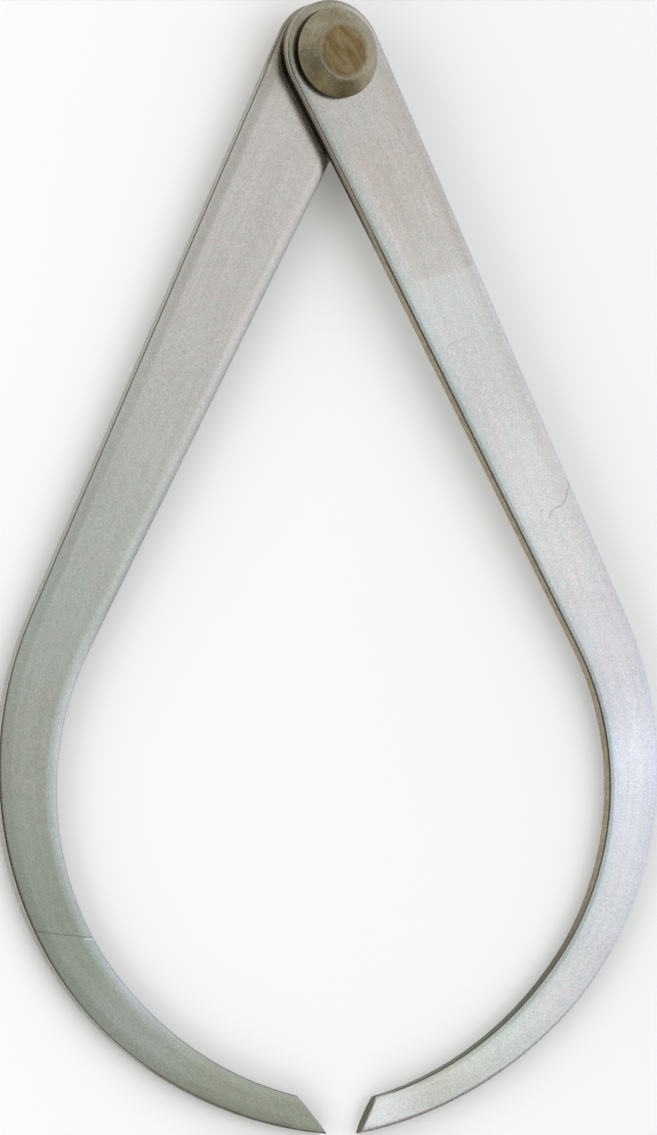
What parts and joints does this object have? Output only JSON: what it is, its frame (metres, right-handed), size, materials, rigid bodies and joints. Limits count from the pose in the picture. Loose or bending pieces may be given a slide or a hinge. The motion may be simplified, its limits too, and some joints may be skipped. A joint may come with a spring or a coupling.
{
  "type": "outside caliper",
  "caption": "Outside caliper with two flat bowed steel legs turning on a firm riveted joint with bevelled washers.",
  "frame": {"origin": "on the pivot axis, at the flat end of the rear rivet head, which the caliper rests on", "axes": "+Z along the pivot axis out of the front face, the legs hang towards -Y, +X towards the front leg"},
  "size_m": [0.14, 0.2099, 0.0128],
  "materials": {
    "rear_leg_steel": "satin ground",
    "front_leg_steel": "satin ground",
    "washer_steel": "satin turned",
    "rivet_steel": "peened and dressed",
    "friction_brass": "rolled"
  },
  "bodies": {
    "rear_half": {"rear_leg": "rear_leg_steel", "rivet": "rivet_steel", "rear_washer": "washer_steel", "friction_washer": "friction_brass", "front_washer": "washer_steel"},
    "front_half": {"front_leg": "front_leg_steel"}
  },
  "joints": [
    {"name": "leg_pivot", "type": "hinge", "parent": "rear_half", "child": "front_half", "pos_m": [0, 0, 0.0064], "axis": [0, 0, 1], "range_deg": [-1.95, 178]}
  ]
}
